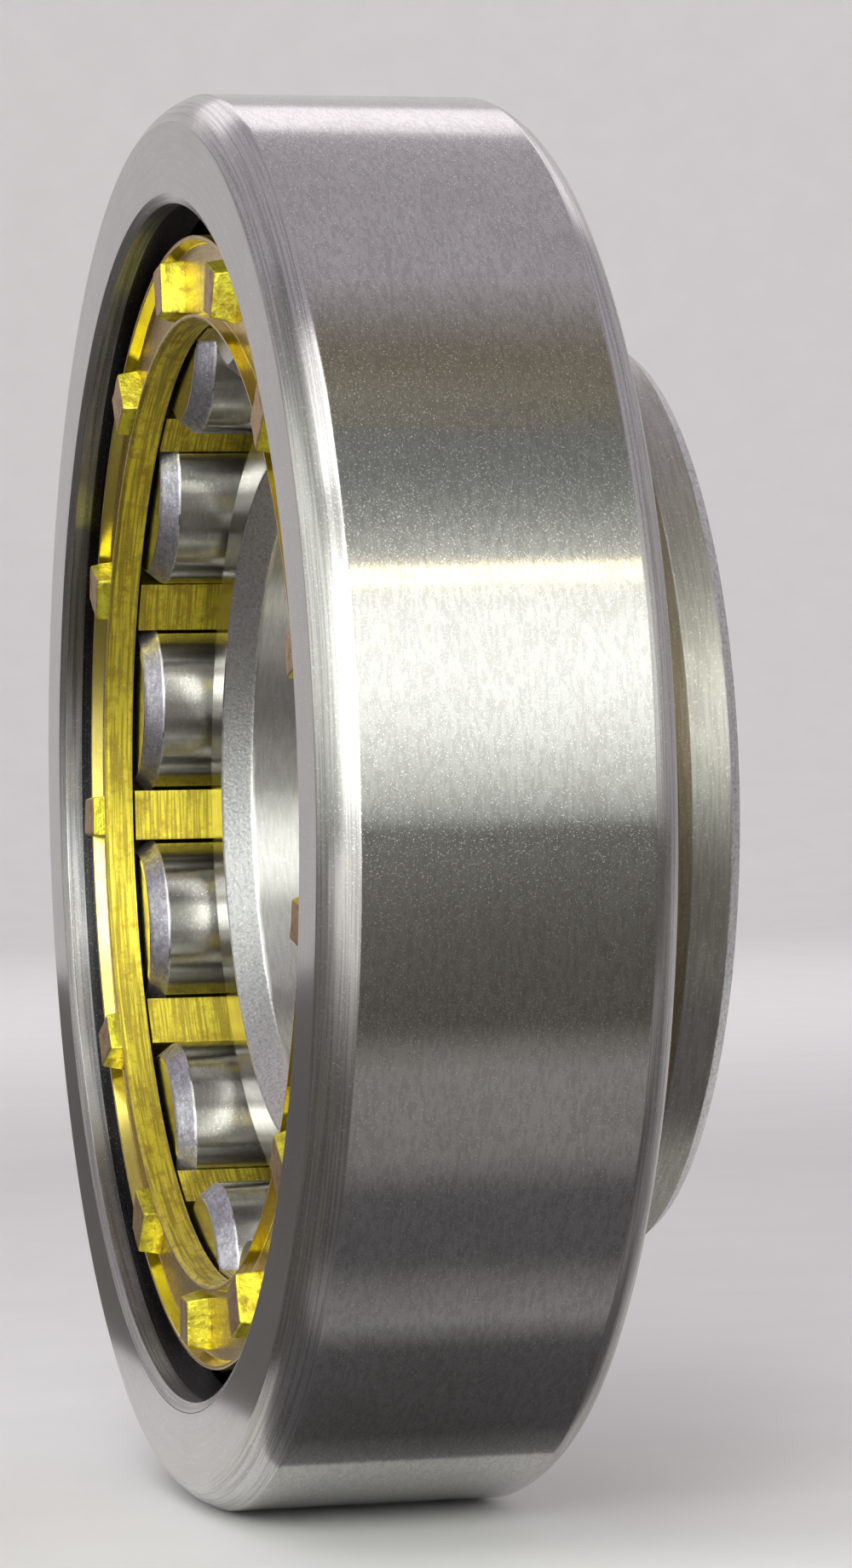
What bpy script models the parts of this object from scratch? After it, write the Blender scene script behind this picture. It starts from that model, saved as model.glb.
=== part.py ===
# Cylindrical roller bearing with a machined brass cage, bore 70 mm, outside 150 mm, width 35 mm.
# The outer ring has two ribs. The inner ring has one, and here it is slid part of the way out.
# Units are metres. The bearing stands on its rim: its axis is Y, and up is Z.
# The origin is the middle of the outer ring, on the axis.

import math

import bmesh
import bpy
from mathutils import Matrix

MM = 0.001

# Boundary sizes, and the corner chamfers of the outer ring (radial, axial)
BORE_RADIUS = 35.0 * MM
OUTER_RADIUS = 75.0 * MM
WIDTH = 35.0 * MM
FRONT_CHAMFER = (3.0 * MM, 3.6 * MM)
BACK_CHAMFER = (2.0 * MM, 2.7 * MM)
CHAMFER_BULGE = 0.12

# Rollers and the raceways they run on
ROLLER_COUNT = 13
ROLLER_RADIUS = 10.5 * MM
ROLLER_LENGTH = 21.7 * MM
ROLLER_CHAMFER = (1.5 * MM, 2.0 * MM)
PITCH_RADIUS = 55.5 * MM
RACEWAY_CLEARANCE = 0.1 * MM
RACEWAY_WIDTH = 22.0 * MM

# Outer ring ribs
RIB_BORE_RADIUS = 63.5 * MM
RIB_CHAMFER = (1.1 * MM, 0.6 * MM)

# Inner ring: its rib, its chamfers, and how far it is slid out
INNER_RIB_RADIUS = 49.2 * MM
INNER_RIB_CHAMFER = (1.0 * MM, 1.25 * MM)
BORE_CHAMFER = (2.4 * MM, 3.1 * MM)
LEAD_CHAMFER = (1.6 * MM, 2.2 * MM)
INNER_RING_SLIDE = 13.9 * MM

# Cage: a body with one end ring and the crossbars, and a grooved ring that closes the pockets
CAGE_BORE_RADIUS = 51.2 * MM
CAGE_OUTER_RADIUS = 60.25 * MM
CAGE_EDGE = 0.4 * MM
CAGE_TURN = math.radians(1.5)
POCKET_CLEARANCE = 0.25 * MM
END_CLEARANCE = 0.3 * MM
END_RING_THICKNESS = 3.5 * MM
COVER_THICKNESS = 3.2 * MM
COVER_LIP = 0.6 * MM
COVER_GROOVE_DEPTH = 1.4 * MM

# Each crossbar's tenon goes through the grooved ring and ends in a peened head
TENON_SIZE = (4.1 * MM, 3.9 * MM)
TENON_CENTRE_RADIUS = 55.9 * MM
HEAD_SIZE = (5.8 * MM, 5.0 * MM)
HEAD_HEIGHT = 2.6 * MM
HEAD_BEVEL = 0.45 * MM
FIT_GAP = 0.3 * MM

# Facets around each turned shape
RING_STEPS = 104
ROLLER_STEPS = 28
POCKET_STEPS = 40
MERGE_DISTANCE = 0.00001
SHARP_ANGLE = math.radians(25)
CUT_MARGIN = 2.0 * MM

# Places worked out from the sizes above, along the bearing's own axis
HALF_WIDTH = WIDTH / 2
HALF_RACEWAY = RACEWAY_WIDTH / 2
HALF_ROLLER = ROLLER_LENGTH / 2
OUTER_RACEWAY_RADIUS = PITCH_RADIUS + ROLLER_RADIUS + RACEWAY_CLEARANCE
INNER_RACEWAY_RADIUS = PITCH_RADIUS - ROLLER_RADIUS - RACEWAY_CLEARANCE
POCKET_RADIUS = ROLLER_RADIUS + POCKET_CLEARANCE
POCKET_END = HALF_RACEWAY + END_CLEARANCE
BAR_END = -HALF_RACEWAY
COVER_INNER_FACE = BAR_END - FIT_GAP
COVER_RIM = COVER_INNER_FACE - COVER_THICKNESS
COVER_FLOOR = COVER_RIM + COVER_GROOVE_DEPTH
HEAD_TOP = COVER_FLOOR - FIT_GAP - HEAD_HEIGHT
PITCH_ANGLE = 2 * math.pi / ROLLER_COUNT


def clear_scene():
    for old in list(bpy.data.objects):
        bpy.data.objects.remove(old, do_unlink=True)


def new_collection(name):
    collection = bpy.data.collections.new(name)
    bpy.context.scene.collection.children.link(collection)
    return collection


def metal(name, colour, roughness):
    material = bpy.data.materials.new(name)
    material.use_nodes = True
    shader = material.node_tree.nodes["Principled BSDF"]
    shader.inputs["Base Color"].default_value = (*colour, 1.0)
    shader.inputs["Metallic"].default_value = 1.0
    shader.inputs["Roughness"].default_value = roughness
    return material


def outer_ring_steel():
    return metal("outer_ring_steel", (0.56, 0.56, 0.57), 0.30)


def inner_ring_steel():
    return metal("inner_ring_steel", (0.50, 0.49, 0.48), 0.35)


def roller_steel():
    return metal("roller_steel", (0.42, 0.42, 0.43), 0.18)


def cage_brass():
    return metal("cage_brass", (0.78, 0.56, 0.16), 0.34)


def place(thing, parent, location=(0.0, 0.0, 0.0)):
    thing.parent = parent
    thing.location = location
    return thing


def empty(name, collection):
    thing = bpy.data.objects.new(name, None)
    collection.objects.link(thing)
    return thing


def turned(name, profile, steps, collection, closed=True):
    """A profile of (radius, height) points turned round Z. It runs down its outer side."""
    count = len(profile)
    edges = [(i, (i + 1) % count) for i in range(count if closed else count - 1)]
    mesh = bpy.data.meshes.new(name)
    mesh.from_pydata([(radius, 0.0, height) for radius, height in profile], edges, [])
    thing = bpy.data.objects.new(name, mesh)
    collection.objects.link(thing)
    screw = thing.modifiers.new("turn", "SCREW")
    screw.axis = "Z"
    screw.angle = 2 * math.pi
    screw.steps = steps
    screw.render_steps = steps
    screw.use_merge_vertices = True
    screw.merge_threshold = MERGE_DISTANCE
    return thing


def tool(name, mesh_data, collection, parent):
    """A wire-only object that cuts or joins."""
    mesh = bpy.data.meshes.new(name)
    mesh_data.to_mesh(mesh)
    mesh_data.free()
    thing = bpy.data.objects.new(name, mesh)
    thing.hide_render = True
    thing.display_type = "WIRE"
    collection.objects.link(thing)
    return place(thing, parent)


def combine(thing, other, operation):
    change = thing.modifiers.new(other.name, "BOOLEAN")
    change.operation = operation
    change.solver = "EXACT"
    change.object = other


def settle(thing, material):
    """Keep the shape its modifiers make, shade its round faces smooth and give it its metal."""
    view_layer = bpy.context.view_layer
    view_layer.update()
    shape = thing.evaluated_get(view_layer.depsgraph)
    mesh = bpy.data.meshes.new_from_object(shape)
    mesh.name = thing.name
    thing.modifiers.clear()
    thing.data = mesh
    mesh.shade_smooth()
    mesh.set_sharp_from_angle(angle=SHARP_ANGLE)
    mesh.materials.clear()
    mesh.materials.append(material)
    return thing


def bar_angles():
    """Angle of each crossbar round the axis. The rollers lie half a pitch further on."""
    return [math.pi - CAGE_TURN + i * PITCH_ANGLE for i in range(ROLLER_COUNT)]


def boxes_round_axis(size, centre_radius, low, high, bevel=0.0):
    """One box on each crossbar's angle: size is (radial, tangential), low and high are heights."""
    boxes = bmesh.new()
    for angle in bar_angles():
        stretch = Matrix.Diagonal((size[0], size[1], high - low, 1.0))
        move = Matrix.Translation((centre_radius, 0.0, (low + high) / 2))
        turn = Matrix.Rotation(angle, 4, "Z")
        corners = bmesh.ops.create_cube(boxes, size=1.0, matrix=turn @ move @ stretch)["verts"]
        if bevel:
            edges = {edge for corner in corners for edge in corner.link_edges}
            middle = (low + high) / 2
            top = [edge for edge in edges if all(v.co.z < middle for v in edge.verts)]
            bmesh.ops.bevel(
                boxes, geom=top, offset=bevel, segments=1, profile=0.5, affect="EDGES", material=-1
            )
    return boxes


def pocket_cutters(collection, parent):
    low = BAR_END - CUT_MARGIN
    cylinders = bmesh.new()
    for angle in bar_angles():
        middle = angle + PITCH_ANGLE / 2
        x = PITCH_RADIUS * math.cos(middle)
        y = PITCH_RADIUS * math.sin(middle)
        bmesh.ops.create_cone(
            cylinders,
            cap_ends=True,
            segments=POCKET_STEPS,
            radius1=POCKET_RADIUS,
            radius2=POCKET_RADIUS,
            depth=POCKET_END - low,
            matrix=Matrix.Translation((x, y, (POCKET_END + low) / 2)),
        )
    return tool("pocket_cutters", cylinders, collection, parent)


def corner_middle(radial, axial):
    """How far the middle of a slightly rounded corner lies inside the sharp one."""
    share = 0.5 - CHAMFER_BULGE
    return OUTER_RADIUS - radial * share, HALF_WIDTH - axial * share


def outer_ring(parts, parent, steel):
    front_radial, front_axial = FRONT_CHAMFER
    back_radial, back_axial = BACK_CHAMFER
    rib_radial, rib_axial = RIB_CHAMFER
    front_middle = corner_middle(*FRONT_CHAMFER)
    back_middle = corner_middle(*BACK_CHAMFER)
    profile = [
        (OUTER_RADIUS, HALF_WIDTH - back_axial),
        (OUTER_RADIUS, -HALF_WIDTH + front_axial),
        (front_middle[0], -front_middle[1]),
        (OUTER_RADIUS - front_radial, -HALF_WIDTH),
        (RIB_BORE_RADIUS + rib_radial, -HALF_WIDTH),
        (RIB_BORE_RADIUS, -HALF_WIDTH + rib_axial),
        (RIB_BORE_RADIUS, -HALF_RACEWAY),
        (OUTER_RACEWAY_RADIUS, -HALF_RACEWAY),
        (OUTER_RACEWAY_RADIUS, HALF_RACEWAY),
        (RIB_BORE_RADIUS, HALF_RACEWAY),
        (RIB_BORE_RADIUS, HALF_WIDTH - rib_axial),
        (RIB_BORE_RADIUS + rib_radial, HALF_WIDTH),
        (OUTER_RADIUS - back_radial, HALF_WIDTH),
        back_middle,
    ]
    ring = turned("outer_ring", profile, RING_STEPS, parts)
    return settle(place(ring, parent), steel)


def inner_ring(parts, parent, steel):
    rib_radial, rib_axial = INNER_RIB_CHAMFER
    bore_radial, bore_axial = BORE_CHAMFER
    lead_radial, lead_axial = LEAD_CHAMFER
    profile = [
        (INNER_RIB_RADIUS, HALF_WIDTH - rib_axial),
        (INNER_RIB_RADIUS, HALF_RACEWAY + rib_axial),
        (INNER_RIB_RADIUS - rib_radial, HALF_RACEWAY),
        (INNER_RACEWAY_RADIUS, HALF_RACEWAY),
        (INNER_RACEWAY_RADIUS, -HALF_WIDTH + lead_axial),
        (INNER_RACEWAY_RADIUS - lead_radial, -HALF_WIDTH),
        (BORE_RADIUS + bore_radial, -HALF_WIDTH),
        (BORE_RADIUS, -HALF_WIDTH + bore_axial),
        (BORE_RADIUS, HALF_WIDTH - bore_axial),
        (BORE_RADIUS + bore_radial, HALF_WIDTH),
        (INNER_RIB_RADIUS - rib_radial, HALF_WIDTH),
    ]
    ring = turned("inner_ring", profile, RING_STEPS, parts)
    return settle(place(ring, parent, (0.0, 0.0, INNER_RING_SLIDE)), steel)


def cage_body(parts, tools, parent, brass):
    back = POCKET_END + END_RING_THICKNESS
    profile = [
        (CAGE_OUTER_RADIUS, back - CAGE_EDGE),
        (CAGE_OUTER_RADIUS, BAR_END),
        (CAGE_BORE_RADIUS, BAR_END),
        (CAGE_BORE_RADIUS, back - CAGE_EDGE),
        (CAGE_BORE_RADIUS + CAGE_EDGE, back),
        (CAGE_OUTER_RADIUS - CAGE_EDGE, back),
    ]
    body = place(turned("cage_body", profile, RING_STEPS, parts), parent)
    tenons = boxes_round_axis(
        TENON_SIZE, TENON_CENTRE_RADIUS, COVER_FLOOR - FIT_GAP - HEAD_HEIGHT / 2, BAR_END + CUT_MARGIN
    )
    heads = boxes_round_axis(
        HEAD_SIZE, TENON_CENTRE_RADIUS, HEAD_TOP, COVER_FLOOR - FIT_GAP, HEAD_BEVEL
    )
    combine(body, pocket_cutters(tools, parent), "DIFFERENCE")
    combine(body, tool("tenons", tenons, tools, parent), "UNION")
    combine(body, tool("tenon_heads", heads, tools, parent), "UNION")
    return settle(body, brass)


def cage_cover(parts, tools, parent, brass):
    profile = [
        (CAGE_OUTER_RADIUS, COVER_INNER_FACE),
        (CAGE_OUTER_RADIUS, COVER_RIM),
        (CAGE_OUTER_RADIUS - COVER_LIP, COVER_RIM),
        (CAGE_OUTER_RADIUS - COVER_LIP, COVER_FLOOR),
        (CAGE_BORE_RADIUS + CAGE_EDGE + COVER_LIP / 2, COVER_FLOOR),
        (CAGE_BORE_RADIUS + CAGE_EDGE + COVER_LIP / 2, COVER_RIM),
        (CAGE_BORE_RADIUS + CAGE_EDGE, COVER_RIM),
        (CAGE_BORE_RADIUS, COVER_RIM + CAGE_EDGE),
        (CAGE_BORE_RADIUS, COVER_INNER_FACE),
    ]
    cover = place(turned("cage_cover", profile, RING_STEPS, parts), parent)
    hole_size = (TENON_SIZE[0] + 2 * FIT_GAP, TENON_SIZE[1] + 2 * FIT_GAP)
    holes = boxes_round_axis(
        hole_size, TENON_CENTRE_RADIUS, COVER_RIM - CUT_MARGIN, COVER_INNER_FACE + CUT_MARGIN
    )
    combine(cover, tool("tenon_holes", holes, tools, parent), "DIFFERENCE")
    return settle(cover, brass)


def rollers(parts, parent, steel):
    radial, axial = ROLLER_CHAMFER
    profile = [
        (0.0, HALF_ROLLER),
        (ROLLER_RADIUS - radial, HALF_ROLLER),
        (ROLLER_RADIUS, HALF_ROLLER - axial),
        (ROLLER_RADIUS, -HALF_ROLLER + axial),
        (ROLLER_RADIUS - radial, -HALF_ROLLER),
        (0.0, -HALF_ROLLER),
    ]
    first = settle(turned("roller_01", profile, ROLLER_STEPS, parts, closed=False), steel)
    for number, angle in enumerate(bar_angles(), start=1):
        roller = first
        if number > 1:
            roller = bpy.data.objects.new(f"roller_{number:02d}", first.data)
            parts.objects.link(roller)
        middle = angle + PITCH_ANGLE / 2
        place(roller, parent, (PITCH_RADIUS * math.cos(middle), PITCH_RADIUS * math.sin(middle), 0.0))


def build():
    clear_scene()
    parts = new_collection("cylindrical_roller_bearing")
    tools = new_collection("cutters")
    axis = empty("bearing_axis", parts)
    axis.rotation_euler = (-math.pi / 2, 0.0, 0.0)
    cage_axis = place(empty("cage_axis", parts), axis)
    brass = cage_brass()
    outer_ring(parts, axis, outer_ring_steel())
    inner_ring(parts, axis, inner_ring_steel())
    cage_body(parts, tools, cage_axis, brass)
    cage_cover(parts, tools, cage_axis, brass)
    rollers(parts, cage_axis, roller_steel())


build()
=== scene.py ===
import math
import random

import bmesh
import bpy
from mathutils import Matrix, Vector, noise


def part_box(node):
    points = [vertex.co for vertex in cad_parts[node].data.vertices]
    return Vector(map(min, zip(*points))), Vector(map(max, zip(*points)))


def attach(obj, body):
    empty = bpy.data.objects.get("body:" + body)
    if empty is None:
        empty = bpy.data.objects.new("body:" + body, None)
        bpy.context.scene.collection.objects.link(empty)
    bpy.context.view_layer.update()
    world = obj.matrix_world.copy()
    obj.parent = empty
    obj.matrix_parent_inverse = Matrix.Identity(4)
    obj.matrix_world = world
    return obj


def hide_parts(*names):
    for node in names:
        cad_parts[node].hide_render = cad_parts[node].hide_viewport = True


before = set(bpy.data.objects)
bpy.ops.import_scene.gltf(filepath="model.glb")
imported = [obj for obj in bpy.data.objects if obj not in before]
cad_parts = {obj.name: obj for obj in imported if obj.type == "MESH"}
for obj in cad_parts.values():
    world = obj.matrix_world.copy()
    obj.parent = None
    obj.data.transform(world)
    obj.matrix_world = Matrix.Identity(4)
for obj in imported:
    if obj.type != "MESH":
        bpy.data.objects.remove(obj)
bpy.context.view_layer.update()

scene = bpy.context.scene
mm = 0.001
mergeGap = 0.02 * mm  # points this close are joined
sliver = 0.001 * mm  # shorter edges are dissolved
alongAxis = Vector((0.0, 1.0, 0.0))
print("frame loaded:", len(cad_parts), "nodes")


# Camera, aimed so that the bearing's centre lies left of and below the middle
cameraSetup = {
    "azimuth": 77.09,
    "roll": -1.124,
    "distance": 0.5695,
    "lens": 121.8,
    "sensor": 36.0,
    "turnRight": 1.0799,
    "turnUp": 0.1739,
    "clip": (0.01, 50.0),
}


def makeCamera(setup):
    camera = bpy.data.objects.new("camera", bpy.data.cameras.new("camera"))
    scene.collection.objects.link(camera)
    camera.data.lens = setup["lens"]
    camera.data.sensor_width = setup["sensor"]
    camera.data.clip_start, camera.data.clip_end = setup["clip"]
    azimuth = math.radians(setup["azimuth"])
    back = Vector((math.sin(azimuth), -math.cos(azimuth), 0.0))
    facing = (-back).to_track_quat("-Z", "Y").to_matrix().to_4x4()
    roll = Matrix.Rotation(math.radians(setup["roll"]), 4, "Z")
    right = Matrix.Rotation(-math.radians(setup["turnRight"]), 4, "Y")
    up = Matrix.Rotation(math.radians(setup["turnUp"]), 4, "X")
    camera.matrix_world = Matrix.Translation(back * setup["distance"]) @ facing @ roll @ right @ up
    scene.camera = camera


makeCamera(cameraSetup)
print("camera ready")


# Short ways to add nodes: a value that is a socket is linked, any other is set
def addNode(tree, kind, inputs=None, **settings):
    node = tree.nodes.new("ShaderNode" + kind)
    for name, value in settings.items():
        setattr(node, name, value)
    for name, value in (inputs or {}).items():
        if isinstance(value, bpy.types.NodeSocket):
            tree.links.new(value, node.inputs[name])
        else:
            node.inputs[name].default_value = value
    return node


def calc(tree, operation, first, second=0.0, third=0.0):
    return addNode(tree, "Math", {0: first, 1: second, 2: third}, operation=operation).outputs[0]


def fade(tree, value, low, high, start=0.0, end=1.0):
    inputs = {"Value": value, "From Min": low, "From Max": high, "To Min": start, "To Max": end}
    return addNode(tree, "MapRange", inputs).outputs[0]


# A colour ramp from its stops, each a place from 0 to 1 and a colour
def addRamp(tree, place, stops):
    ramp = addNode(tree, "ValToRGB", {0: place})
    elements = ramp.color_ramp.elements
    while len(elements) < len(stops):
        elements.new(0.5)
    for element, (position, colour) in zip(elements, stops):
        element.position = position
        element.color = rgb(colour)
    return ramp.outputs[0]


def mixColour(tree, share, first, second):
    node = addNode(tree, "Mix", {0: share, 6: first, 7: second}, data_type="RGBA")
    return node.outputs[2]


def rgb(colour):
    return (*colour, 1.0)


# Where a point lies on a turned piece: its direction round the axis, its radius and its height along Y
def turnedSpace(tree, attribute=None):
    if attribute:
        place = addNode(tree, "Attribute", attribute_name=attribute).outputs["Vector"]
    else:
        place = addNode(tree, "TexCoord").outputs["Object"]
    x, y, z = addNode(tree, "SeparateXYZ", {0: place}).outputs
    squares = calc(tree, "ADD", calc(tree, "MULTIPLY", x, x), calc(tree, "MULTIPLY", z, z))
    radius = calc(tree, "MAXIMUM", calc(tree, "SQRT", squares), 0.0002)
    return {
        "place": place,
        "x": calc(tree, "DIVIDE", x, radius),
        "y": y,
        "z": calc(tree, "DIVIDE", z, radius),
        "radius": radius,
    }


# Noise drawn out round the axis: few spots along the cut, many lines across it
def turningMarks(tree, space, along, across, detail=2.0):
    vector = addNode(tree, "CombineXYZ", {
        0: calc(tree, "MULTIPLY", space["x"], along),
        1: calc(tree, "MULTIPLY", space["y"], across),
        2: calc(tree, "MULTIPLY", space["z"], along),
    }).outputs[0]
    inputs = {"Vector": vector, "W": calc(tree, "MULTIPLY", space["radius"], across),
              "Scale": 1.0, "Detail": detail}
    return addNode(tree, "TexNoise", inputs, noise_dimensions="4D").outputs[0]


def grain(tree, space, scale, detail=2.0, roughness=0.5):
    inputs = {"Vector": space["place"], "Scale": scale, "Detail": detail, "Roughness": roughness}
    return addNode(tree, "TexNoise", inputs).outputs[0]


# Where each mark starts in its noise and where it is full, and how much wider the broad marks are
markRanges = {
    "lines": (0.45, 0.58),
    "freckles": (0.60, 0.74),
    "stainSpan": 0.22,
    "scratchSpan": 0.04,
    "broadAlong": 0.12,
    "broadAcross": 0.11,
}
# Two sets of fine scratches: how each is turned, its length and its width
scratchSets = [
    ((20, 35, 8), 1.6 * mm, 0.15 * mm),
    ((-50, 10, -24), 1.1 * mm, 0.14 * mm),
]


# Thin scratches: a noise stretched one way, of which only the highest crests are kept
def scratches(tree, space, turn, length, width, share):
    mapping = addNode(tree, "Mapping", {
        "Vector": space["place"],
        "Rotation": [math.radians(angle) for angle in turn],
        "Scale": (1.0 / length, 1.0 / width, 1.0 / width),
    })
    lines = addNode(tree, "TexNoise", {"Vector": mapping.outputs[0], "Scale": 1.0, "Detail": 0.0})
    return fade(tree, lines.outputs[0], share, share + markRanges["scratchSpan"])


# Metal with turning or grinding marks, grain, stains and fine scratches
def makeMetal(name, look, attribute=None):
    material = bpy.data.materials.new(name)
    material.use_nodes = True
    tree = material.node_tree
    shader = tree.nodes["Principled BSDF"]
    space = turnedSpace(tree, attribute)
    marks = turningMarks(tree, space, look["along"], look["across"])
    broad = turningMarks(
        tree, space, look["along"] * markRanges["broadAlong"], look["across"] * markRanges["broadAcross"]
    )
    spots = grain(tree, space, look["grainScale"])
    clouds = grain(tree, space, look["cloudScale"], 3.0, 0.6)
    stainFull = look["stainFrom"] + markRanges["stainSpan"]
    stain = fade(tree, clouds, look["stainFrom"], stainFull, 0.0, look["stain"])
    lined = fade(tree, marks, *markRanges["lines"], 0.0, look["lines"])
    darker = mixColour(tree, stain, rgb(look["colour"]), rgb(look["stainColour"]))
    lineColour = mixColour(tree, lined, darker, rgb(look["lineColour"]))
    freckles = fade(tree, spots, *markRanges["freckles"], 0.0, look["freckles"])
    colour = mixColour(tree, freckles, lineColour, rgb(look["freckleColour"]))
    nicks = calc(tree, "ADD", *[
        scratches(tree, space, *scratchSet, look["scratchShare"]) for scratchSet in scratchSets
    ])
    wear = calc(tree, "MULTIPLY", nicks, look["scratches"])
    worn = mixColour(tree, wear, colour, rgb(look["wearColour"]))
    tree.links.new(worn, shader.inputs["Base Color"])
    smoothest = look["roughness"] - look["roughSpread"] / 2
    rough = calc(tree, "MULTIPLY_ADD", marks, look["roughSpread"], smoothest)
    rough = calc(tree, "MULTIPLY_ADD", stain, look["stainRough"], rough)
    rough = calc(tree, "MULTIPLY_ADD", spots, look["grainRough"], rough)
    tree.links.new(rough, shader.inputs["Roughness"])
    height = calc(tree, "MULTIPLY_ADD", broad, look["broad"], marks)
    height = calc(tree, "MULTIPLY_ADD", spots, look["grainDepth"], height)
    height = calc(tree, "MULTIPLY_ADD", wear, -look["scratchDepth"], height)
    bump = addNode(tree, "Bump", {"Height": height, "Strength": 1.0, "Distance": look["depth"]})
    tree.links.new(bump.outputs[0], shader.inputs["Normal"])
    shader.inputs["Metallic"].default_value = 1.0
    if look["anisotropic"]:
        shader.inputs["Anisotropic"].default_value = look["anisotropic"]
        acrossCut = addNode(tree, "CombineXYZ", {0: 0.0, 1: 1.0, 2: 0.0})
        tree.links.new(acrossCut.outputs[0], shader.inputs["Tangent"])
    return material


# What the steel faces share; brass starts from it too, and each finish below changes some of it
steelLook = {
    "colour": (0.600, 0.590, 0.568),
    "stainColour": (0.450, 0.435, 0.405),
    "stain": 0.35,
    "stainFrom": 0.45,
    "stainRough": 0.06,
    "lineColour": (0.440, 0.430, 0.405),
    "lines": 0.45,
    "freckleColour": (0.800, 0.795, 0.780),
    "freckles": 0.20,
    "wearColour": (0.880, 0.880, 0.870),
    "scratches": 0.5,
    "scratchShare": 0.75,
    "scratchDepth": 0.6,
    "along": 30.0,
    "across": 2600.0,
    "broad": 0.8,
    "depth": 0.0000040,
    "grainScale": 2600.0,
    "grainDepth": 0.30,
    "grainRough": 0.05,
    "cloudScale": 90.0,
    "roughness": 0.22,
    "roughSpread": 0.08,
    "anisotropic": 0.85,
}

brassLook = {
    **steelLook,
    "colour": (0.915, 0.780, 0.080),
    "stainColour": (0.430, 0.250, 0.040),
    "stain": 0.70,
    "stainFrom": 0.48,
    "stainRough": 0.08,
    "lineColour": (0.460, 0.350, 0.050),
    "lines": 0.85,
    "freckleColour": (0.360, 0.240, 0.050),
    "freckles": 0.45,
    "wearColour": (0.990, 0.920, 0.480),
    "scratches": 0.35,
    "along": 6.0,
    "across": 3400.0,
    "broad": 1.2,
    "depth": 0.0000140,
    "grainScale": 2400.0,
    "grainDepth": 0.40,
    "grainRough": 0.08,
    "cloudScale": 520.0,
    "roughness": 0.42,
    "roughSpread": 0.12,
    "anisotropic": 0.5,
}

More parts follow.
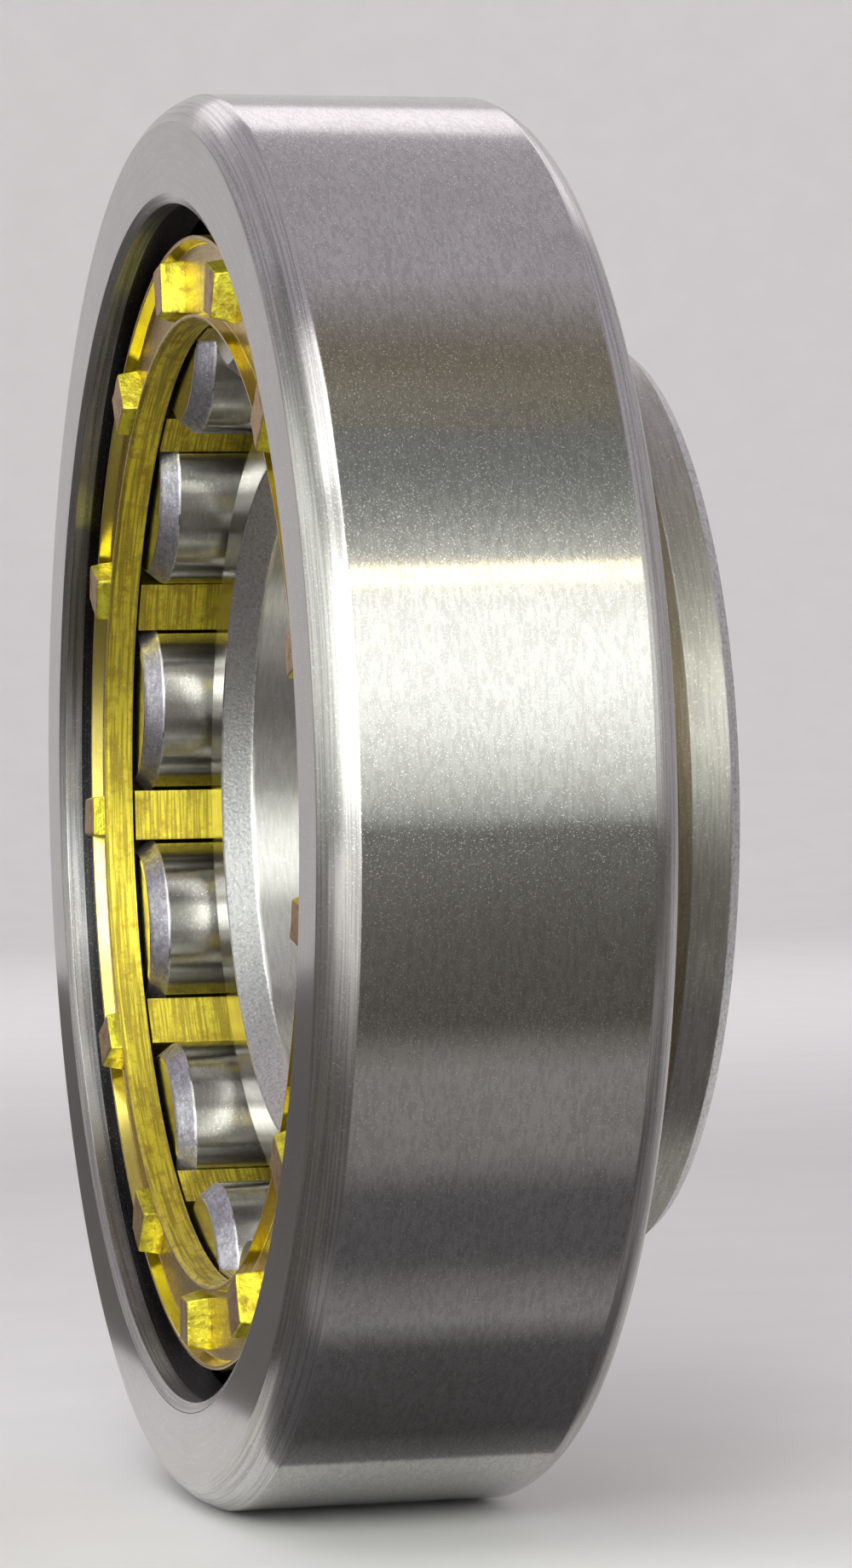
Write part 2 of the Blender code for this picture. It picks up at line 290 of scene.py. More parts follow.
finishes = {
    "groundRim": {
        **steelLook, "roughness": 0.15, "roughSpread": 0.05, "stainRough": 0.03, "grainRough": 0.02,
        "anisotropic": 0.95, "scratches": 1.0, "scratchShare": 0.735, "along": 62.0, "across": 2900.0,
        "broad": 0.25, "depth": 0.0000038, "lines": 0.60, "freckles": 0.40,
    },
    "groundFace": {
        **steelLook, "roughness": 0.10, "roughSpread": 0.04, "depth": 0.0000006, "lines": 0.25,
        "across": 2400.0, "along": 3.0, "stain": 0.25, "stainRough": 0.03, "freckles": 0.10,
        "grainRough": 0.01, "anisotropic": 0.0,
    },
    "turnedCorner": {
        **steelLook, "roughness": 0.21, "along": 4.0, "across": 4200.0, "depth": 0.0000070,
        "grainDepth": 0.55, "grainScale": 3200.0, "lines": 0.65, "freckles": 0.50,
        "lineColour": (0.330, 0.320, 0.310),
    },
    "ribBoreSteel": {
        **steelLook, "colour": (0.430, 0.430, 0.445), "lineColour": (0.200, 0.200, 0.215),
        "roughness": 0.33, "anisotropic": 0.95, "along": 3.0, "across": 2600.0, "stain": 0.5,
        "stainColour": (0.20, 0.20, 0.22), "depth": 0.0000060, "lines": 0.8, "freckles": 0.1,
    },
    # Painted shade: near-black steel on the rib bore next to the cage and on the walls beside the raceway,
    # standing in for the shade in these recesses
    "recessShadeSteel": {
        **steelLook, "colour": (0.042, 0.041, 0.046), "stainColour": (0.024, 0.024, 0.028),
        "lineColour": (0.080, 0.080, 0.087), "roughness": 0.34, "along": 3.0, "across": 2600.0,
        "depth": 0.0000060, "freckles": 0.05, "scratches": 0.2,
    },
    "racewaySteel": {**steelLook, "roughness": 0.14, "along": 10.0, "depth": 0.0000015},
    "ringFace": {
        **steelLook, "roughness": 0.12, "roughSpread": 0.05, "depth": 0.0000010, "along": 4.0,
        "across": 2200.0, "lines": 0.3, "anisotropic": 0.0,
    },
    "grainyChamfer": {
        **steelLook, "colour": (0.680, 0.675, 0.670), "roughness": 0.33, "grainScale": 2800.0,
        "grainDepth": 3.2, "depth": 0.0000110, "freckles": 0.9, "freckleColour": (0.90, 0.90, 0.89),
        "stain": 0.70, "stainFrom": 0.46, "cloudScale": 2300.0, "stainColour": (0.36, 0.355, 0.35),
        "along": 12.0, "across": 3000.0, "lineColour": (0.33, 0.32, 0.32), "anisotropic": 0.2,
        "lines": 0.15,
    },
    "satinBore": {
        **steelLook, "roughness": 0.30, "along": 14.0, "across": 2800.0, "depth": 0.0000050,
        "anisotropic": 1.0, "freckles": 0.35, "stainRough": 0.03, "grainRough": 0.02,
    },
    "turnedRib": {
        **steelLook, "colour": (0.48, 0.47, 0.425), "roughness": 0.40, "anisotropic": 0.6, "along": 12.0,
        "across": 3000.0, "depth": 0.0000080, "lines": 0.60, "stain": 0.4, "freckles": 0.45,
        "lineColour": (0.360, 0.345, 0.300),
    },
    "turnedBrass": {**brassLook},
    # Painted shade: dark brass for the cage cover's outside, which lies in shade inside the outer ring
    "outsideShadeBrass": {**brassLook, "colour": (0.300, 0.235, 0.075), "roughness": 0.50},
    "lipBrass": {
        **brassLook, "colour": (0.640, 0.540, 0.130), "roughness": 0.17, "roughSpread": 0.05,
        "lines": 0.20, "stain": 0.25, "depth": 0.0000020, "freckles": 0.20, "anisotropic": 0.2,
    },
    # The pink tan of the brass faces across the axis is a painted reflection; their stains and freckles are
    # the brass's own
    "pinkReflectionBrass": {
        **brassLook, "colour": (0.740, 0.540, 0.280), "stainColour": (0.50, 0.32, 0.13),
        "roughness": 0.24, "roughSpread": 0.08, "depth": 0.0000025, "lines": 0.35, "along": 4.0,
        "stain": 0.50, "freckles": 0.40, "anisotropic": 0.0, "freckleColour": (0.42, 0.27, 0.12),
    },
    "milledBrass": {
        **brassLook, "roughness": 0.26, "lines": 0.3, "across": 1800.0, "along": 60.0,
        "depth": 0.0000040, "anisotropic": 0.0,
    },
    "hammeredBrass": {
        **brassLook, "colour": (0.800, 0.760, 0.070), "stainColour": (0.340, 0.270, 0.040),
        "roughness": 0.46, "lines": 0.25, "stain": 0.85, "stainFrom": 0.47, "grainScale": 1100.0,
        "grainDepth": 1.6, "depth": 0.0000700, "freckles": 0.70, "anisotropic": 0.0,
    },
    # The pink tone of the heads' outer faces is a painted reflection; their peened bumps are real
    "peenedPinkReflectionBrass": {
        **brassLook, "colour": (0.580, 0.380, 0.210), "stainColour": (0.28, 0.16, 0.08),
        "roughness": 0.36, "lines": 0.15, "stain": 0.70, "grainScale": 1300.0, "grainDepth": 1.6,
        "depth": 0.0000300, "freckles": 0.50, "anisotropic": 0.0,
    },
    "rollerSteel": {
        **steelLook, "colour": (0.375, 0.370, 0.345), "roughness": 0.20, "roughSpread": 0.05,
        "anisotropic": 0.95, "stainRough": 0.03, "grainRough": 0.02, "along": 9.0, "across": 3000.0,
        "depth": 0.0000014, "lines": 0.45, "stain": 0.45, "cloudScale": 320.0,
        "lineColour": (0.30, 0.295, 0.27),
    },
    "rollerChamfer": {
        **steelLook, "colour": (0.540, 0.520, 0.575), "stainColour": (0.27, 0.26, 0.31),
        "roughness": 0.40, "grainScale": 3400.0, "grainDepth": 2.6, "depth": 0.0000100,
        "freckles": 0.9, "stain": 0.8, "cloudScale": 1100.0, "along": 8.0, "across": 2200.0,
        "lineColour": (0.31, 0.30, 0.34), "anisotropic": 0.0, "lines": 0.6,
    },
    "rollerEnd": {
        **steelLook, "roughness": 0.15, "along": 3.0, "across": 2200.0, "depth": 0.0000010,
        "anisotropic": 0.0,
    },
}
rollerFinishes = ("rollerSteel", "rollerChamfer", "rollerEnd")
metals = {
    name: makeMetal(name, look, "localPlace" if name in rollerFinishes else None)
    for name, look in finishes.items()
}
print("metals ready:", len(metals))


# A ring or a roller from its section: each stretch between two stations is spun with its own finish
def turnSection(stations, steps):
    shape = bmesh.new()
    ends = stations[1:] + stations[:1]
    for (radius, y, finish), (nextRadius, nextY, _) in zip(stations, ends):
        if finish is None:
            continue
        first = shape.verts.new((radius * mm, y * mm, 0.0))
        second = shape.verts.new((nextRadius * mm, nextY * mm, 0.0))
        stretch = shape.edges.new((first, second))
        known = set(shape.faces)
        bmesh.ops.spin(
            shape, geom=[first, second, stretch], cent=(0, 0, 0), axis=alongAxis,
            angle=2 * math.pi, steps=steps, use_merge=True,
        )
        for face in shape.faces:
            if face not in known:
                face.material_index = finish
    bmesh.ops.remove_doubles(shape, verts=shape.verts, dist=mergeGap)
    bmesh.ops.dissolve_degenerate(shape, edges=shape.edges, dist=sliver)
    bmesh.ops.recalc_face_normals(shape, faces=shape.faces)
    return shape


# Rounds the circular edges that lie at the given stations
def roundRims(shape, rims, width, segments):
    near = 0.05 * mm

    def isOn(vert, radius, y):
        offAxis = math.hypot(vert.co.x, vert.co.z)
        return abs(offAxis - radius * mm) < near and abs(vert.co.y - y * mm) < near

    edges = [
        edge for edge in shape.edges
        if any(all(isOn(vert, radius, y) for vert in edge.verts) for radius, y in rims)
    ]
    bmesh.ops.bevel(
        shape, geom=edges, offset=width * mm, segments=segments, profile=0.5, affect="EDGES", material=-1
    )


# Joins a finished part to a larger shape
def joinTo(shape, part):
    mesh = bpy.data.meshes.new("part")
    part.to_mesh(mesh)
    part.free()
    shape.from_mesh(mesh)
    bpy.data.meshes.remove(mesh)


# Makes the piece from its shape, with its metals and smooth shading, and puts it on its body
def finishPiece(name, shape, finishNames, body, nodes=(), sharp=32):
    mesh = bpy.data.meshes.new(name)
    shape.to_mesh(mesh)
    shape.free()
    mesh.shade_smooth()
    mesh.set_sharp_from_angle(angle=math.radians(sharp))
    for finish in finishNames:
        mesh.materials.append(metals[finish])
    piece = bpy.data.objects.new(name, mesh)
    scene.collection.objects.link(piece)
    weighted = piece.modifiers.new("weighted", "WEIGHTED_NORMAL")
    weighted.keep_sharp = True
    weighted.weight = 100
    ready = piece.evaluated_get(bpy.context.evaluated_depsgraph_get())
    piece.data = bpy.data.meshes.new_from_object(ready)
    piece.modifiers.remove(weighted)
    bpy.data.meshes.remove(mesh)
    piece.data.name = name
    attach(piece, body)
    if nodes:
        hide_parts(*nodes)
    return piece


# Outer ring: ground rim and faces, turned corners, two ribs inside. Sizes in millimetres
outerRingSizes = {
    "radius": 75.0,
    "halfWidth": 17.5,
    "frontCorner": (3.0, 3.6),
    "backCorner": (2.0, 2.7),
    "cornerShare": 0.38,
    "ribBore": 63.5,
    "ribCorner": (1.1, 0.6),
    "ribLand": 2.5,
    "raceway": 66.1,
    "halfRaceway": 11.0,
    "cornerRound": 1.1,
    "edgeRound": 0.16,
    "ribRound": 0.12,
    "steps": 300,
}


def makeOuterRing(sizes):
    radius, half, share = sizes["radius"], sizes["halfWidth"], sizes["cornerShare"]
    frontRadial, frontAxial = sizes["frontCorner"]
    backRadial, backAxial = sizes["backCorner"]
    ribRadial, ribAxial = sizes["ribCorner"]
    rib, raceway, inside = sizes["ribBore"], sizes["raceway"], sizes["halfRaceway"]
    land = half - sizes["ribLand"]
    rim, corner, face, bore, track, shadedRecess = 0, 1, 2, 3, 4, 5
    frontMiddle = (radius - frontRadial * share, -half + frontAxial * share)
    backMiddle = (radius - backRadial * share, half - backAxial * share)
    stations = [
        (radius, half - backAxial, rim),
        (radius, -half + frontAxial, corner),
        (*frontMiddle, corner),
        (radius - frontRadial, -half, face),
        (rib + ribRadial, -half, corner),
        (rib, -half + ribAxial, bore),
        # The rib bore next to the cage and the raceway's side walls take the near-black painted shade
        (rib, -land, shadedRecess),
        (rib, -inside, shadedRecess),
        (raceway, -inside, track),
        (raceway, inside, shadedRecess),
        (rib, inside, shadedRecess),
        (rib, land, bore),
        (rib, half - ribAxial, corner),
        (rib + ribRadial, half, face),
        (radius - backRadial, half, corner),
        (*backMiddle, corner),
    ]
    shape = turnSection(stations, sizes["steps"])
    roundRims(shape, [frontMiddle, backMiddle], sizes["cornerRound"], 5)
    outerEdges = [
        (radius, half - backAxial), (radius, -half + frontAxial),
        (radius - frontRadial, -half), (radius - backRadial, half),
    ]
    ribEdges = [
        (rib + ribRadial, -half), (rib, -half + ribAxial),
        (rib, half - ribAxial), (rib + ribRadial, half),
    ]
    roundRims(shape, outerEdges, sizes["edgeRound"], 2)
    roundRims(shape, ribEdges, sizes["ribRound"], 2)
    finishPiece(
        "outerRing", shape,
        ["groundRim", "turnedCorner", "groundFace", "ribBoreSteel", "racewaySteel", "recessShadeSteel"],
        "outer_ring", ["outer_ring"],
    )


makeOuterRing(outerRingSizes)
print("outer ring ready")


# Inner ring: plain at the front, one rib at the back, slid part of the way out
innerRingSizes = {
    "bore": 35.0,
    "raceway": 44.9,
    "rib": 49.2,
    "front": -3.6,
    "back": 31.4,
    "ribInside": 24.9,
    "ribCorner": (1.0, 1.25),
    "boreCorner": (2.4, 3.1),
    "leadCorner": (1.6, 2.2),
    "boreRound": 0.4,
    "boreEdgeRound": 0.3,
    "ribRound": 0.15,
    "leadRound": 0.3,
    "steps": 260,
}


def makeInnerRing(sizes):
    bore, raceway, rib = sizes["bore"], sizes["raceway"], sizes["rib"]
    front, back, inside = sizes["front"], sizes["back"], sizes["ribInside"]
    ribRadial, ribAxial = sizes["ribCorner"]
    boreRadial, boreAxial = sizes["boreCorner"]
    leadRadial, leadAxial = sizes["leadCorner"]
    ribSteel, chamfer, face, track, satin = 0, 1, 2, 3, 4
    stations = [
        (rib, back - ribAxial, ribSteel),
        (rib, inside + ribAxial, ribSteel),
        (rib - ribRadial, inside, ribSteel),
        (raceway, inside, track),
        (raceway, front + leadAxial, track),
        (raceway - leadRadial, front, face),
        (bore + boreRadial, front, chamfer),
        (bore, front + boreAxial, satin),
        (bore, back - boreAxial, chamfer),
        (bore + boreRadial, back, face),
        (rib - ribRadial, back, chamfer),
    ]
    shape = turnSection(stations, sizes["steps"])
    boreRims = [(bore, front + boreAxial), (bore, back - boreAxial)]
    boreEdges = [(bore + boreRadial, front), (bore + boreRadial, back)]
    ribEdges = [
        (rib, back - ribAxial), (rib, inside + ribAxial),
        (rib - ribRadial, inside), (rib - ribRadial, back),
    ]
    leadEdges = [(raceway, front + leadAxial), (raceway - leadRadial, front)]
    roundRims(shape, boreRims, sizes["boreRound"], 4)
    roundRims(shape, boreEdges, sizes["boreEdgeRound"], 3)
    roundRims(shape, ribEdges, sizes["ribRound"], 2)
    roundRims(shape, leadEdges, sizes["leadRound"], 3)
    finishPiece(
        "innerRing", shape, ["turnedRib", "grainyChamfer", "ringFace", "racewaySteel", "satinBore"],
        "inner_ring", ["inner_ring"],
    )


makeInnerRing(innerRingSizes)
print("inner ring ready")


# Rollers: polished sides, wide matt chamfers. Each keeps its own coordinates for the grain, and
# grainShift, in metres, takes each a step further along the axis there, so that no two match
rollerSizes = {
    "count": 13,
    "radius": 10.5,
    "halfLength": 10.85,
    "corner": (1.5, 2.0),
    "pitchRadius": 55.5,
    "firstBar": 181.5,
    "sideRound": 0.22,
    "endRound": 0.45,
    "grainShift": 0.1,
    "steps": 96,
    "seed": 4,
}


# The angles, from +X towards +Z, of a crossbar and of the roller beside it
def barAngle(number):
    return math.radians(rollerSizes["firstBar"] + number * 360.0 / rollerSizes["count"])


def rollerAngle(number):
    return barAngle(number) - math.pi / rollerSizes["count"]


def makeRollers(sizes):
    radius, half = sizes["radius"], sizes["halfLength"]
    radial, axial = sizes["corner"]
    side, chamfer, end = 0, 1, 2
    stations = [
        (0.0, half, end),
        (radius - radial, half, chamfer),
        (radius, half - axial, side),
        (radius, -half + axial, chamfer),
        (radius - radial, -half, end),
        (0.0, -half, None),
    ]
    first = turnSection(stations, sizes["steps"])
    roundRims(first, [(radius, half - axial), (radius, -half + axial)], sizes["sideRound"], 3)
    roundRims(first, [(radius - radial, half), (radius - radial, -half)], sizes["endRound"], 4)
    draw = random.Random(sizes["seed"])
    for number in range(sizes["count"]):
        roller = first.copy()
        bmesh.ops.rotate(
            roller, verts=roller.verts, cent=(0, 0, 0),
            matrix=Matrix.Rotation(draw.uniform(0.0, 2 * math.pi), 3, "Y"),
        )
        local = roller.verts.layers.float_vector.new("localPlace")
        shift = alongAxis * sizes["grainShift"] * number
        for vert in roller.verts:
            vert[local] = vert.co + shift
        angle = rollerAngle(number)
        centre = Vector((math.cos(angle), 0.0, math.sin(angle))) * sizes["pitchRadius"] * mm
        bmesh.ops.translate(roller, verts=roller.verts, vec=centre)
        node = nearestRoller(centre)
        finishPiece("roller" + node[-2:], roller, rollerFinishes, node, [node])
    first.free()


def nearestRoller(centre):
    def distance(node):
        low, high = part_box(node)
        return ((low + high) / 2 - centre).length

    return min((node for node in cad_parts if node.startswith("roller_")), key=distance)


makeRollers(rollerSizes)
print("rollers ready")


# Cage: crossbars with pocket-shaped sides, the end ring they stand on, and the grooved ring
cageSizes = {
    "bore": 51.2,
    "outside": 60.25,
    "edge": 0.4,
    "pocket": 10.75,
    "barFront": -11.0,
    "pocketEnd": 11.3,
    "back": 14.8,
    "coverInside": -11.3,
    "coverRim": -14.5,
    "grooveFloor": -13.1,
    "innerLip": 0.3,
    "outerLip": 0.5,
    "wallSlant": 0.35,
    "barEdge": 0.14,
    "barOverlap": 0.2,
    "rimRound": 0.12,
    "floorRound": 0.2,
    "barSteps": 10,
    "steps": 288,
}


# A crossbar's section: up one pocket, over the outside, down the other pocket and back over the bore
def barSection(shape, sizes, angle):
    pitch, pocket = rollerSizes["pitchRadius"] * mm, sizes["pocket"] * mm
    low, high = sizes["bore"] * mm, sizes["outside"] * mm
    halfPitch = math.pi / rollerSizes["count"]

    def fromCentre(radius):
        return math.acos((pitch**2 + pocket**2 - radius**2) / (2 * pitch * pocket))

    def roundAxis(radius):
        return halfPitch - math.acos((pitch**2 + radius**2 - pocket**2) / (2 * pitch * radius))

    def pocketCentre(side):
        turn = angle + side * halfPitch
        return Vector((math.cos(turn), 0.0, math.sin(turn))) * pitch

    sweep = fromCentre(high) - fromCentre(low)
    start = angle + roundAxis(low)
    corner = Vector((math.cos(start) * low, sizes["barFront"] * mm, math.sin(start) * low))
    arcs = [
        (pocketCentre(1), sweep),
        (Vector((0, 0, 0)), -2 * roundAxis(high)),
        (pocketCentre(-1), sweep),
        (Vector((0, 0, 0)), 2 * roundAxis(low)),
    ]
    vert = shape.verts.new(corner)
    section = [vert]
    for centre, turn in arcs:
        made = bmesh.ops.spin(
            shape, geom=[section[-1]], cent=centre, axis=-alongAxis, angle=turn, steps=sizes["barSteps"]
        )
        section.append(next(item for item in made["geom_last"] if isinstance(item, bmesh.types.BMVert)))
    return section


# Turned on the outside and in the bore, milled in the pockets, and smooth at the ends, whose pink tone is a
# painted reflection
def setBarFinishes(bar, sizes):
    cut, face, milled = 0, 1, 2
    near = 0.06 * mm
    for side in bar.faces:
        middle = side.calc_center_median()
        radius = math.hypot(middle.x, middle.z)
        if abs(side.normal.y) > 0.9:
            side.material_index = face
        elif min(radius - sizes["bore"] * mm, sizes["outside"] * mm - radius) < near:
            side.material_index = cut
        else:
            side.material_index = milled


def makeBar(sizes, angle):
    bar = bmesh.new()
    barSection(bar, sizes, angle)
    bmesh.ops.remove_doubles(bar, verts=bar.verts, dist=mergeGap)
    made = bmesh.ops.contextual_create(bar, geom=bar.edges[:])
    pushed = bmesh.ops.extrude_face_region(bar, geom=made["faces"])
    moved = [item for item in pushed["geom"] if isinstance(item, bmesh.types.BMVert)]
    length = (sizes["pocketEnd"] - sizes["barFront"] + sizes["barOverlap"]) * mm
    bmesh.ops.translate(bar, verts=moved, vec=alongAxis * length)
    bmesh.ops.recalc_face_normals(bar, faces=bar.faces)
    setBarFinishes(bar, sizes)
    corners = [
        edge for edge in bar.edges
        if edge.is_manifold and edge.calc_face_angle() > math.radians(25)
        and abs(edge.verts[0].co.y - edge.verts[1].co.y) > 1.0 * mm
    ]
    bmesh.ops.bevel(
        bar, geom=corners, offset=sizes["barEdge"] * mm, segments=2, profile=0.5, affect="EDGES",
        material=-1,
    )
    return bar


def makeCageBody(sizes):
    bore, outside, edge = sizes["bore"], sizes["outside"], sizes["edge"]
    cut, face = 0, 1
    stations = [
        (outside, sizes["back"] - edge, cut),
        (outside, sizes["pocketEnd"], face),
        (bore, sizes["pocketEnd"], cut),
        (bore, sizes["back"] - edge, cut),
        (bore + edge, sizes["back"], face),
        (outside - edge, sizes["back"], cut),
    ]
    shape = turnSection(stations, sizes["steps"])
    for number in range(rollerSizes["count"]):
        joinTo(shape, makeBar(sizes, barAngle(number)))
    finishPiece(
        "cageBody", shape, ["turnedBrass", "pinkReflectionBrass", "milledBrass"],
        "cage", ["cage_body"],
    )


makeCageBody(cageSizes)


def makeCageCover(sizes):
    bore, outside, edge = sizes["bore"], sizes["outside"], sizes["edge"]
    rim, floor = sizes["coverRim"], sizes["grooveFloor"]
    innerWall = bore + edge + sizes["innerLip"]
    outerWall, slant = outside - sizes["outerLip"], sizes["wallSlant"]
    cut, face, wall, shadedOutside = 0, 1, 2, 3
    stations = [
        # The cover's outside takes the dark painted-shade brass
        (outside, sizes["coverInside"], shadedOutside),
        (outside, rim, face),
        (outerWall, rim, wall),
        (outerWall - slant, floor, face),
        (innerWall, floor, wall),
        (innerWall, rim, face),
        (bore + edge, rim, cut),
        (bore, rim + edge, cut),
        (bore, sizes["coverInside"], face),
    ]
    shape = turnSection(stations, sizes["steps"])
    roundRims(shape, [(outside, rim), (outerWall, rim)], sizes["rimRound"], 2)
    roundRims(shape, [(outerWall - slant, floor), (innerWall, floor)], sizes["floorRound"], 3)
    roundRims(shape, [(bore + edge, rim), (bore, rim + edge)], sizes["rimRound"], 2)
    finishPiece(
        "cageCover", shape, ["turnedBrass", "pinkReflectionBrass", "lipBrass", "outsideShadeBrass"],
        "cage", ["cage_cover"],
    )


makeCageCover(cageSizes)


# Peened tenon heads: blocks with knocked corners, no two alike
headSizes = {
    "middle": 55.9,
    "radial": 5.9,
    "wide": 5.1,
    "base": -12.9,
    "top": -15.8,
    "taper": 0.87,
    "knock": 0.28,
    "bevel": 0.24,
    "dents": 0.10,
    "dentScale": 1.5,
    "dentShift": 3.1,
    "sharp": 40,
    "seed": 11,
}


def makeHead(sizes, draw, number):
    hammered, peenedPinkReflection = 0, 1
    knock = sizes["knock"] * mm
    head = bmesh.new()
    bmesh.ops.create_cube(head, size=1.0)
    for face in head.faces:
        # The outer face of each head takes the peened brass with its painted pink reflection
        face.material_index = peenedPinkReflection if face.normal.y < -0.5 else hammered
    for vert in head.verts:
        isTop = vert.co.y < 0
        shrink = sizes["taper"] if isTop else 1.0
        vert.co.x *= sizes["radial"] * mm * shrink
        vert.co.z *= sizes["wide"] * mm * shrink
        vert.co.y = (sizes["top"] if isTop else sizes["base"]) * mm
        if isTop:
            vert.co.x += draw.uniform(-1, 1) * knock
            vert.co.z += draw.uniform(-1, 1) * knock
            vert.co.y += draw.uniform(0, 1) * knock
    bmesh.ops.bevel(
        head, geom=head.edges[:], offset=sizes["bevel"] * mm, segments=2, profile=0.5,
        affect="EDGES", material=-1,
    )
    bmesh.ops.subdivide_edges(head, edges=head.edges[:], cuts=3, use_grid_fill=True)
    bmesh.ops.recalc_face_normals(head, faces=head.faces)
    head.normal_update()
    shift = Vector((number * sizes["dentShift"], 0.0, 0.0))
    depths = [noise.noise(vert.co / (sizes["dentScale"] * mm) + shift) for vert in head.verts]
    for vert, depth in zip(head.verts, depths):
        vert.co += vert.normal * depth * sizes["dents"] * mm
    bmesh.ops.translate(head, verts=head.verts, vec=(sizes["middle"] * mm, 0, 0))
    turn = Matrix.Rotation(-barAngle(number), 3, "Y")
    bmesh.ops.rotate(head, verts=head.verts, cent=(0, 0, 0), matrix=turn)
    return head


def makeHeads(sizes):
    draw = random.Random(sizes["seed"])
    shape = bmesh.new()
    for number in range(rollerSizes["count"]):
        joinTo(shape, makeHead(sizes, draw, number))
    finishPiece(
        "cageHeads", shape, ["hammeredBrass", "peenedPinkReflectionBrass"],
        "cage", (), sizes["sharp"],
    )


makeHeads(headSizes)
print("cage ready")


# Studio, in metres: a pale floor that sweeps up all round, under a soft sky with a dim ceiling patch
studioSizes = {
    "floor": -0.0751,
    "flat": 2.2,
    "sweep": 1.0,
    "wallTop": 1.6,
    "floorColour": (0.850, 0.840, 0.845),
    "aboveColour": (0.50, 0.465, 0.515),
    "ceilingColour": (0.205, 0.180, 0.130),
    "ceilingAim": 50.0,
    "ceilingSide": 0.2,
    "ceilingEdge": (0.78, 0.93),
    "patchScale": 40.0,
    "patchShade": 0.93,
}

# The window: its ends round the bearing and its heights are in degrees, as seen from the bearing, and
# each step is a height with its glow. The glow grows from leftShare to beamShare and falls to 1 again
# over the two stretches of the beam
windowSizes = {
    "distance": 0.85,
    "from": -115.0,
    "to": 62.0,
    "low": -4.8,
    "high": 56.0,
    "brightness": 1.72,
    "steps": [
        (-4.8, 0.10), (-2.5, 0.32), (0.0, 0.45), (5.0, 0.64), (10.0, 0.84), (18.0, 1.00), (27.0, 0.94),
        (30.4, 0.88), (31.2, 0.48), (36.0, 0.40), (42.0, 0.22), (48.0, 0.13), (56.0, 0.10),
    ],
    "tint": (0.975, 1.0, 0.955),
    "leftShare": 0.72,
    "beamShare": 5.2,
    "beam": ((-44, -36), (-18, -8)),
}


def makeFloor(sizes):
    shape = bmesh.new()
    low = sizes["floor"]
    sweep = sizes["sweep"]
    middle = shape.verts.new((0.0, 0.0, low))
    first = shape.verts.new((sizes["flat"], 0.0, low))
    shape.edges.new((middle, first))
    made = bmesh.ops.spin(
        shape, geom=[first], cent=(sizes["flat"], 0, low + sweep), axis=(0, -1, 0),
        angle=math.pi / 2, steps=16,
    )
    last = next(item for item in made["geom_last"] if isinstance(item, bmesh.types.BMVert))
    top = shape.verts.new((last.co.x, 0.0, sizes["wallTop"]))
    shape.edges.new((last, top))
    bmesh.ops.spin(
        shape, geom=shape.verts[:] + shape.edges[:], cent=(0, 0, 0), axis=(0, 0, 1),
        angle=2 * math.pi, steps=96, use_merge=True,
    )
    bmesh.ops.remove_doubles(shape, verts=shape.verts, dist=0.0001)
    mesh = bpy.data.meshes.new("studioFloor")
    shape.to_mesh(mesh)
    shape.free()
    mesh.shade_smooth()
    material = bpy.data.materials.new("studioFloor")
    material.use_nodes = True
    tree = material.node_tree
    shader = tree.nodes["Principled BSDF"]
    place = addNode(tree, "TexCoord").outputs["Object"]
    inputs = {"Vector": place, "Scale": sizes["patchScale"], "Detail": 6.0}
    cloud = addNode(tree, "TexNoise", inputs).outputs[0]
    shade = [value * sizes["patchShade"] for value in sizes["floorColour"]]
    colour = mixColour(tree, cloud, rgb(sizes["floorColour"]), rgb(shade))
    tree.links.new(colour, shader.inputs["Base Color"])
    shader.inputs["Roughness"].default_value = 0.7
    mesh.materials.append(material)
    floor = bpy.data.objects.new("studioFloor", mesh)
    scene.collection.objects.link(floor)


def makeSurroundings(sizes):
    world = bpy.data.worlds.new("studio")
    scene.world = world
    world.use_nodes = True
    tree = world.node_tree
    backdrop = tree.nodes["Background"]
    direction = addNode(tree, "TexCoord").outputs["Generated"]
    aim = math.radians(sizes["ceilingAim"])
    ceiling = (math.cos(aim), sizes["ceilingSide"], math.sin(aim))
    toward = addNode(tree, "VectorMath", {0: direction, 1: ceiling}, operation="DOT_PRODUCT")
    share = fade(tree, toward.outputs["Value"], *sizes["ceilingEdge"])
    colour = mixColour(tree, share, rgb(sizes["aboveColour"]), rgb(sizes["ceilingColour"]))
    tree.links.new(colour, backdrop.inputs["Color"])
    backdrop.inputs["Strength"].default_value = 1.0


# A soft light seen only in reflections and by what it lights
def addSoftbox(name, place, size, brightness, colour=(1.0, 1.0, 1.0), aim=(0.0, 0.0, 0.0)):
    light = bpy.data.lights.new(name, "AREA")
    light.shape = "RECTANGLE"
    light.size, light.size_y = size
    light.energy = brightness * size[0] * size[1] * math.pi
    light.color = colour
    softbox = bpy.data.objects.new(name, light)
    scene.collection.objects.link(softbox)
    facing = (Vector(aim) - Vector(place)).to_track_quat("-Z", "Y").to_matrix().to_4x4()
    softbox.matrix_world = Matrix.Translation(place) @ facing
    softbox.visible_camera = False


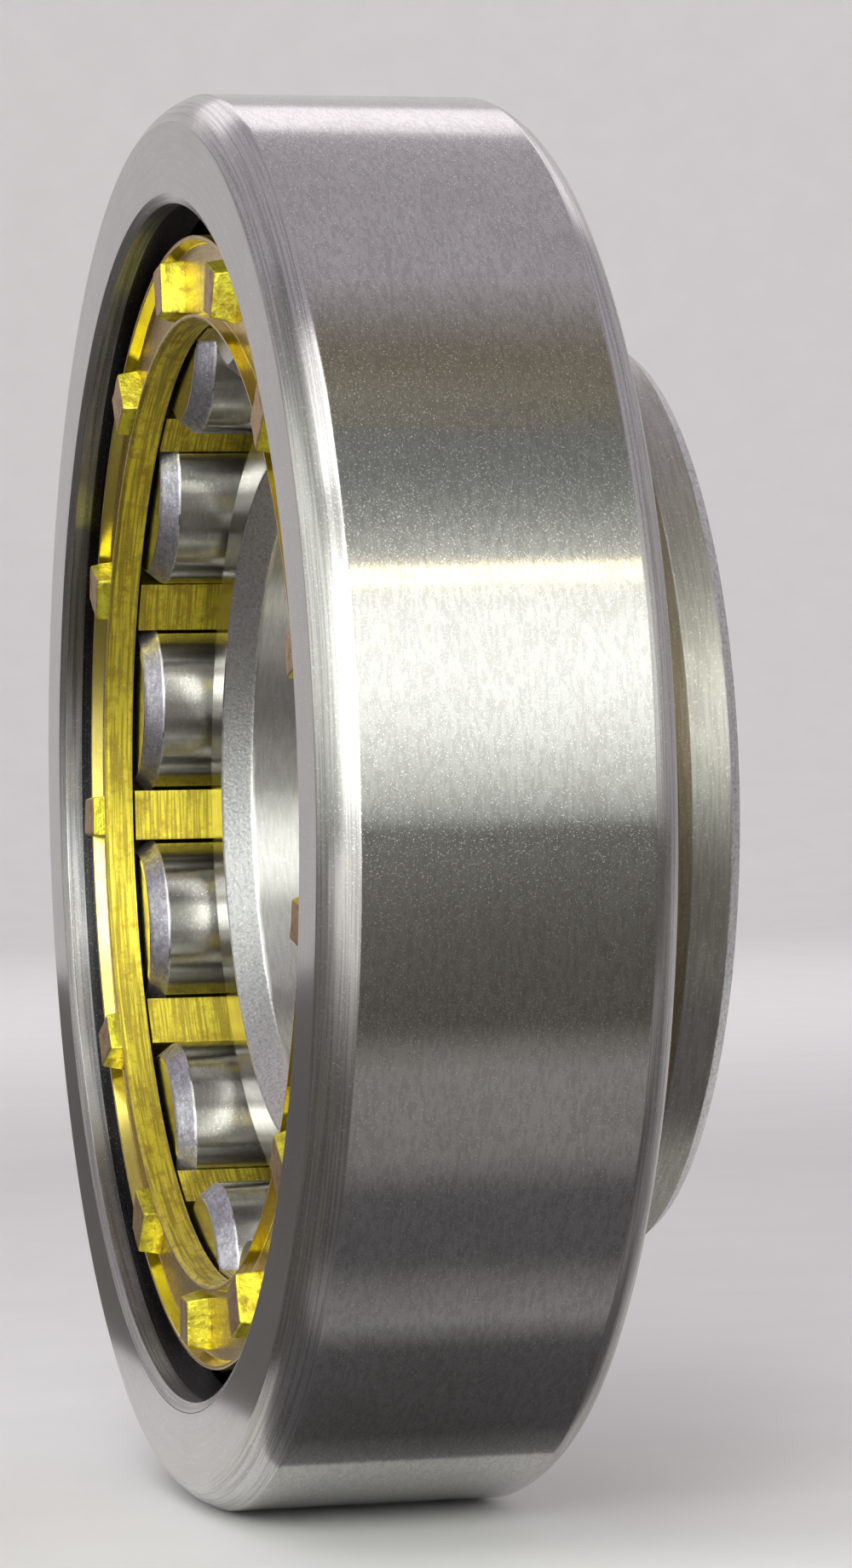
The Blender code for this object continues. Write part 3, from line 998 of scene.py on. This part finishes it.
# A curved panel whose glow changes with height, with a bright beam near its left end
def addWindow(sizes):
    shape = bmesh.new()
    reach = sizes["distance"]
    heights = [reach * math.tan(math.radians(sizes[key])) for key in ("low", "high")]
    turn = math.radians(sizes["from"])
    ends = [shape.verts.new((math.cos(turn) * reach, math.sin(turn) * reach, z)) for z in heights]
    upright = shape.edges.new(ends)
    bmesh.ops.spin(
        shape, geom=ends + [upright], cent=(0, 0, 0), axis=(0, 0, 1),
        angle=math.radians(sizes["to"] - sizes["from"]), steps=64,
    )
    material = bpy.data.materials.new("window")
    material.use_nodes = True
    tree = material.node_tree
    tree.nodes.clear()
    x, y, z = addNode(tree, "SeparateXYZ", {0: addNode(tree, "TexCoord").outputs["Object"]}).outputs
    height = calc(tree, "MULTIPLY", calc(tree, "ARCTAN2", z, reach), 180.0 / math.pi)
    place = fade(tree, height, sizes["low"], sizes["high"])
    stops = [
        ((angle - sizes["low"]) / (sizes["high"] - sizes["low"]), [glow * part for part in sizes["tint"]])
        for angle, glow in sizes["steps"]
    ]
    colour = addRamp(tree, place, stops)
    side = calc(tree, "ARCTAN2", y, x)
    rise, fall = [[math.radians(angle) for angle in ends] for ends in sizes["beam"]]
    left = fade(tree, side, *rise, sizes["leftShare"], sizes["beamShare"])
    right = fade(tree, side, *fall, sizes["beamShare"], 1.0)
    glow = calc(tree, "MULTIPLY", calc(tree, "MINIMUM", left, right), sizes["brightness"])
    emission = addNode(tree, "Emission", {"Color": colour, "Strength": glow})
    output = addNode(tree, "OutputMaterial")
    tree.links.new(emission.outputs[0], output.inputs[0])
    stageMesh("window", shape, material)


# A mesh of the studio that only reflections and lit pieces show
def stageMesh(name, shape, material):
    mesh = bpy.data.meshes.new(name)
    shape.to_mesh(mesh)
    shape.free()
    mesh.materials.append(material)
    panel = bpy.data.objects.new(name, mesh)
    scene.collection.objects.link(panel)
    panel.visible_camera = False
    return panel


# Dark cards just over the floor, seen only in reflections: one beside the bearing and one along its
# front. They paint darker and lighter bands of shade into the metal's reflections of the floor. Each is
# shaded along X, by the shades at its stations
cardSizes = {
    "height": 0.004,
    "near": ((0.030, -0.035), (2.2, 1.4)),
    "front": ((-1.60, -1.2), (0.17, -0.035)),
    "shades": [
        (0.030, (0.300, 0.290, 0.300)),
        (0.035, (0.110, 0.105, 0.115)),
        (0.050, (0.110, 0.105, 0.115)),
        (0.055, (0.330, 0.320, 0.330)),
        (0.060, (0.250, 0.240, 0.250)),
        (0.066, (0.110, 0.105, 0.115)),
        (0.080, (0.110, 0.105, 0.115)),
        (0.090, (0.270, 0.255, 0.260)),
        (0.118, (0.310, 0.290, 0.290)),
        (0.140, (0.080, 0.076, 0.066)),
        (0.200, (0.072, 0.068, 0.059)),
    ],
    "frontShades": [
        (-1.60, (0.120, 0.112, 0.105)),
        (0.10, (0.120, 0.112, 0.105)),
        (0.17, (0.620, 0.610, 0.615)),
    ],
}


def addCard(name, corners, height, shades):
    (lowX, lowY), (highX, highY) = corners
    shape = bmesh.new()
    middle = Vector(((lowX + highX) / 2, (lowY + highY) / 2, height))
    bmesh.ops.create_grid(
        shape, x_segments=1, y_segments=1, size=0.5,
        matrix=Matrix.Translation(middle) @ Matrix.Diagonal((highX - lowX, highY - lowY, 1.0, 1.0)),
    )
    material = bpy.data.materials.new(name)
    material.use_nodes = True
    tree = material.node_tree
    shader = tree.nodes["Principled BSDF"]
    shader.inputs["Roughness"].default_value = 0.9
    first, last = shades[0][0], shades[-1][0]
    x = addNode(tree, "SeparateXYZ", {0: addNode(tree, "TexCoord").outputs["Object"]}).outputs[0]
    stops = [((place - first) / (last - first), shade) for place, shade in shades]
    colour = addRamp(tree, fade(tree, x, first, last), stops)
    tree.links.new(colour, shader.inputs["Base Color"])
    card = stageMesh(name, shape, material)
    card.visible_diffuse = False
    card.visible_shadow = False
    card.visible_transmission = False


# Two thin warm bars at the top of the window's bright part, a soft light above its beam, one behind the
# bearing, and one that lights only the backdrop
softboxes = {
    "windowEdge": {
        "place": (0.79, 0.18, 0.534), "size": (1.3, 0.006), "brightness": 12.0, "colour": (1.0, 0.86, 0.52),
    },
    "windowBar": {
        "place": (0.79, 0.18, 0.503), "size": (1.3, 0.006), "brightness": 9.0, "colour": (1.0, 0.90, 0.62),
    },
    "beamTop": {"place": (0.41, -0.32, 0.74), "size": (0.5, 0.4), "brightness": 2.6},
    "backTop": {
        "place": (-0.9, 0.25, 0.75), "size": (1.2, 0.30), "brightness": 0.9, "colour": (1.0, 0.95, 0.97),
    },
    "backdropLight": {
        "place": (-1.0, 0.25, 1.2), "size": (1.6, 0.8), "brightness": 3.5, "aim": (-3.2, 0.7, 0.3),
    },
}

makeFloor(studioSizes)
makeSurroundings(studioSizes)
addWindow(windowSizes)
for name, softbox in softboxes.items():
    addSoftbox(name, **softbox)
cardHeight = studioSizes["floor"] + cardSizes["height"]
addCard("nearShadeCard", cardSizes["near"], cardHeight, cardSizes["shades"])
addCard("frontShadeCard", cardSizes["front"], cardHeight, cardSizes["frontShades"])
print("studio ready")

scene.view_settings.view_transform = "Standard"
